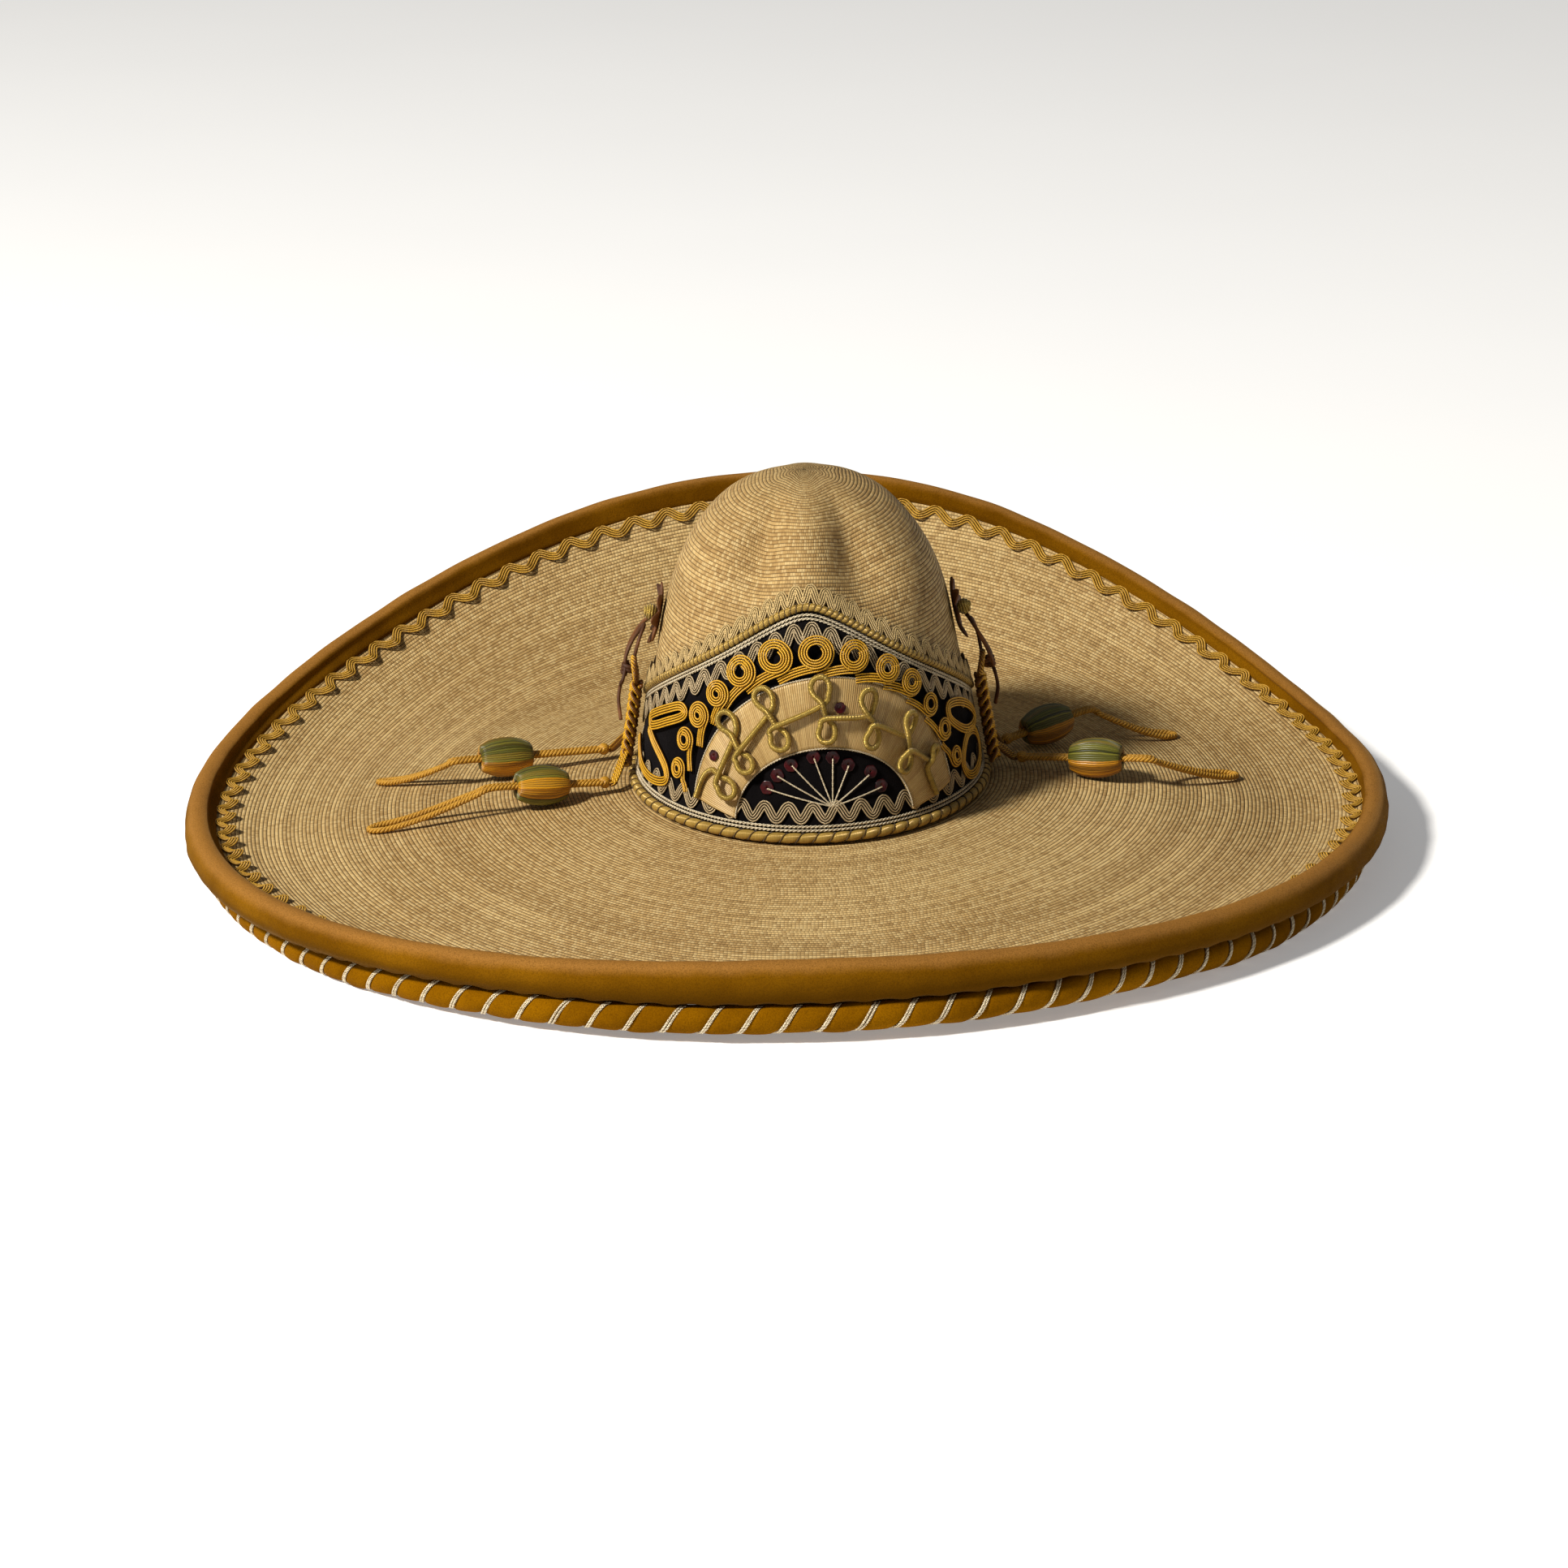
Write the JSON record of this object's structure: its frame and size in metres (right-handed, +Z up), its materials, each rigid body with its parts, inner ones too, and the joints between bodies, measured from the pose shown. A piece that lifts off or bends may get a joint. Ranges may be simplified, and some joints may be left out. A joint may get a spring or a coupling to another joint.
{
  "type": "sombrero",
  "caption": "Wide-brimmed woven straw hat with a tall pinched crown, a padded and overcast velvet lip, an embroidered band and corded bead pendants that swing.",
  "frame": {"origin": "middle of the brim's outline, at the table the hat stands on", "axes": "+Z up through the crown; -Y is the front, with the embroidered arch; the crown's axis stands 12 mm to +X of the brim's middle"},
  "size_m": [0.5988, 0.5774, 0.1912],
  "materials": {
    "bead_thread": "wound silk thread over a barrel",
    "black_velvet": "black velvet pile",
    "brown_leather": "brown split leather",
    "cream_satin": "ribbed cream satin",
    "gold_braid": "metallic gold braid",
    "olive_cord": "olive metallic cord",
    "pale_gold_braid": "beige and gold braid",
    "palm_straw": "woven palm straw, dry and matt",
    "pendant_cord": "round twisted silk cord",
    "red_sequin": "dark red, polished",
    "rim_velvet": "soft cotton velvet, padded",
    "rim_wire": "drawn spring steel wire",
    "silver_thread": "twisted silver thread",
    "sweat_leather": "smooth pale leather",
    "white_cord": "twisted white and silver cord",
    "yellow_cord": "yellow silk soutache braid"
  },
  "bodies": {
    "hat": {"arch_gold_cord": "olive_cord", "arch_panel": "cream_satin", "arch_sequin_left": "red_sequin", "arch_sequin_right": "red_sequin", "band_bottom_piping": "gold_braid", "band_bottom_ricrac": "silver_thread", "band_bottom_soutache": "white_cord", "band_scallop_trim": "pale_gold_braid", "band_top_piping": "gold_braid", "band_top_ricrac": "silver_thread", "band_top_soutache": "white_cord", "brim": "palm_straw", "crown_shell": "palm_straw", "fan_sequin_1": "red_sequin", "fan_sequin_2": "red_sequin", "fan_sequin_3": "red_sequin", "fan_sequin_4": "red_sequin", "fan_sequin_5": "red_sequin", "fan_sequin_6": "red_sequin", "fan_sequin_7": "red_sequin", "fan_sequin_8": "red_sequin", "fan_spokes": "silver_thread", "hatband_velvet": "black_velvet", "lace_bead_left": "olive_cord", "lace_bead_right": "olive_cord", "leather_flower_left": "brown_leather", "leather_flower_right": "brown_leather", "leather_lace_left": "brown_leather", "leather_lace_right": "brown_leather", "overcast_roll": "rim_velvet", "overcast_thread": "silver_thread", "rim_facing": "rim_velvet", "rim_ricrac": "gold_braid", "rim_roll": "rim_velvet", "rim_wire": "rim_wire", "scroll_braid": "yellow_cord", "side_knot_left": "yellow_cord", "side_knot_right": "yellow_cord", "side_loop_left_lower": "yellow_cord", "side_loop_left_upper": "yellow_cord", "side_loop_right_lower": "yellow_cord", "side_loop_right_upper": "yellow_cord", "sweatband": "sweat_leather"},
    "cord_left_back": {"pendant_cord_left_back": "pendant_cord"},
    "bead_left_back_body": {"bead_left_back": "bead_thread"},
    "cord_left_front": {"pendant_cord_left_front": "pendant_cord"},
    "bead_left_front_body": {"bead_left_front": "bead_thread"},
    "cord_right_back": {"pendant_cord_right_back": "pendant_cord"},
    "bead_right_back_body": {"bead_right_back": "bead_thread"},
    "cord_right_front": {"pendant_cord_right_front": "pendant_cord"},
    "bead_right_front_body": {"bead_right_front": "bead_thread"}
  },
  "joints": [
    {"name": "swing_left_back", "type": "hinge", "parent": "hat", "child": "cord_left_back", "pos_m": [-0.092, 0.0275, 0.04033], "axis": [-0.318, 0.9481, 0], "range_deg": [0, 60]},
    {"name": "slide_left_back", "type": "slide", "parent": "cord_left_back", "child": "bead_left_back_body", "axis": [-0.9474, -0.3178, 0.0375], "range_m": [-0.005, 0.01]},
    {"name": "swing_left_front", "type": "hinge", "parent": "hat", "child": "cord_left_front", "pos_m": [-0.0895, -0.027, 0.0404], "axis": [-0.3641, 0.9314, 0], "range_deg": [0, 60]},
    {"name": "slide_left_front", "type": "slide", "parent": "cord_left_front", "child": "bead_left_front_body", "axis": [-0.9276, -0.3626, 0.0897], "range_m": [-0.005, 0.01]},
    {"name": "swing_right_back", "type": "hinge", "parent": "hat", "child": "cord_right_back", "pos_m": [0.112, 0.033, 0.04034], "axis": [0.497, -0.8677, 0], "range_deg": [0, 60]},
    {"name": "slide_right_back", "type": "slide", "parent": "cord_right_back", "child": "bead_right_back_body", "axis": [0.8584, 0.4917, 0.1462], "range_m": [-0.005, 0.01]},
    {"name": "swing_right_front", "type": "hinge", "parent": "hat", "child": "cord_right_front", "pos_m": [0.1182, 0.0034, 0.04021], "axis": [-0.291, -0.9567, 0], "range_deg": [0, 60]},
    {"name": "slide_right_front", "type": "slide", "parent": "cord_right_front", "child": "bead_right_front_body", "axis": [0.9551, -0.2904, 0.0593], "range_m": [-0.005, 0.01]}
  ]
}
